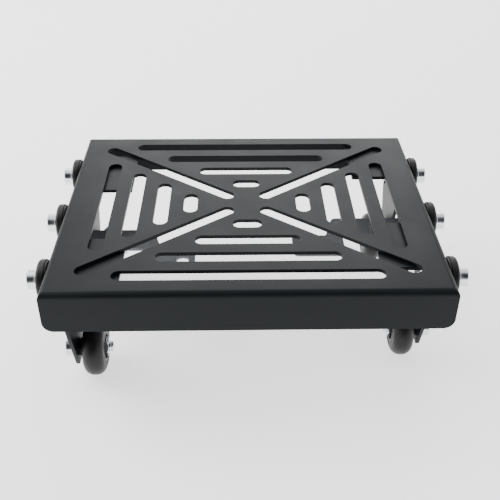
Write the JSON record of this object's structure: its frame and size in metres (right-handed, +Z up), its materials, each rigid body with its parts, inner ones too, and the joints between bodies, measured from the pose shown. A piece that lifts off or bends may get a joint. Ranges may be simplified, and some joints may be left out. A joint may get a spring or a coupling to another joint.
{
  "type": "furniture dolly",
  "caption": "Low furniture dolly: folded steel tray with a slotted deck, corner wheels on brackets and bolted side rollers with their axes across the tray.",
  "frame": {"origin": "middle of the whole object's footprint, at floor level", "axes": "+Z up, +X to the right and +Y to the back as seen from the front; every wheel and roller turns about X"},
  "size_m": [0.3908, 0.286, 0.129],
  "materials": {
    "powder": "satin black powder coat",
    "rubber": "matt black rubber",
    "hub": "black moulded plastic",
    "zinc": "bright zinc plating",
    "bearing": "ground bearing steel"
  },
  "bodies": {
    "tray": {"deck_tray": "powder", "arm_left": "powder", "arm_right": "powder", "bracket_front_left": "powder", "spacer_front_left": "zinc", "axle_bolt_front_left": "zinc", "axle_washer_front_left": "zinc", "axle_nut_front_left": "zinc", "bracket_back_left": "powder", "spacer_back_left": "zinc", "axle_bolt_back_left": "zinc", "axle_washer_back_left": "zinc", "axle_nut_back_left": "zinc", "bracket_front_right": "powder", "spacer_front_right": "zinc", "axle_bolt_front_right": "zinc", "axle_washer_front_right": "zinc", "axle_nut_front_right": "zinc", "bracket_back_right": "powder", "spacer_back_right": "zinc", "axle_bolt_back_right": "zinc", "axle_washer_back_right": "zinc", "axle_nut_back_right": "zinc", "roller_bolt_front_left": "zinc", "roller_nut_front_left": "zinc", "roller_bolt_middle_left": "zinc", "roller_nut_middle_left": "zinc", "roller_bolt_back_left": "zinc", "roller_nut_back_left": "zinc", "roller_bolt_front_right": "zinc", "roller_nut_front_right": "zinc", "roller_bolt_middle_right": "zinc", "roller_nut_middle_right": "zinc", "roller_bolt_back_right": "zinc", "roller_nut_back_right": "zinc"},
    "wheel_front_left": {"wheel_tyre_front_left": "rubber", "wheel_hub_front_left": "hub"},
    "wheel_back_left": {"wheel_tyre_back_left": "rubber", "wheel_hub_back_left": "hub"},
    "wheel_front_right": {"wheel_tyre_front_right": "rubber", "wheel_hub_front_right": "hub"},
    "wheel_back_right": {"wheel_tyre_back_right": "rubber", "wheel_hub_back_right": "hub"},
    "roller_front_left": {"roller_tyre_front_left": "rubber", "roller_bearing_front_left": "bearing"},
    "roller_middle_left": {"roller_tyre_middle_left": "rubber", "roller_bearing_middle_left": "bearing"},
    "roller_back_left": {"roller_tyre_back_left": "rubber", "roller_bearing_back_left": "bearing"},
    "roller_front_right": {"roller_tyre_front_right": "rubber", "roller_bearing_front_right": "bearing"},
    "roller_middle_right": {"roller_tyre_middle_right": "rubber", "roller_bearing_middle_right": "bearing"},
    "roller_back_right": {"roller_tyre_back_right": "rubber", "roller_bearing_back_right": "bearing"}
  },
  "joints": [
    {"name": "wheel_spin_front_left", "type": "hinge", "parent": "tray", "child": "wheel_front_left", "pos_m": [-0.1441, -0.092, 0.027], "axis": [1, 0, 0], "continuous": true},
    {"name": "wheel_spin_back_left", "type": "hinge", "parent": "tray", "child": "wheel_back_left", "pos_m": [-0.1491, 0.068, 0.027], "axis": [1, 0, 0], "continuous": true},
    {"name": "wheel_spin_front_right", "type": "hinge", "parent": "tray", "child": "wheel_front_right", "pos_m": [0.1491, -0.068, 0.027], "axis": [1, 0, 0], "continuous": true},
    {"name": "wheel_spin_back_right", "type": "hinge", "parent": "tray", "child": "wheel_back_right", "pos_m": [0.1441, 0.092, 0.027], "axis": [1, 0, 0], "continuous": true},
    {"name": "roller_spin_front_left", "type": "hinge", "parent": "tray", "child": "roller_front_left", "pos_m": [-0.1805, -0.093, 0.107], "axis": [1, 0, 0], "continuous": true},
    {"name": "roller_spin_middle_left", "type": "hinge", "parent": "tray", "child": "roller_middle_left", "pos_m": [-0.1805, 0, 0.107], "axis": [1, 0, 0], "continuous": true},
    {"name": "roller_spin_back_left", "type": "hinge", "parent": "tray", "child": "roller_back_left", "pos_m": [-0.1805, 0.093, 0.107], "axis": [1, 0, 0], "continuous": true},
    {"name": "roller_spin_front_right", "type": "hinge", "parent": "tray", "child": "roller_front_right", "pos_m": [0.1805, -0.093, 0.107], "axis": [1, 0, 0], "continuous": true},
    {"name": "roller_spin_middle_right", "type": "hinge", "parent": "tray", "child": "roller_middle_right", "pos_m": [0.1805, 0, 0.107], "axis": [1, 0, 0], "continuous": true},
    {"name": "roller_spin_back_right", "type": "hinge", "parent": "tray", "child": "roller_back_right", "pos_m": [0.1805, 0.093, 0.107], "axis": [1, 0, 0], "continuous": true}
  ]
}
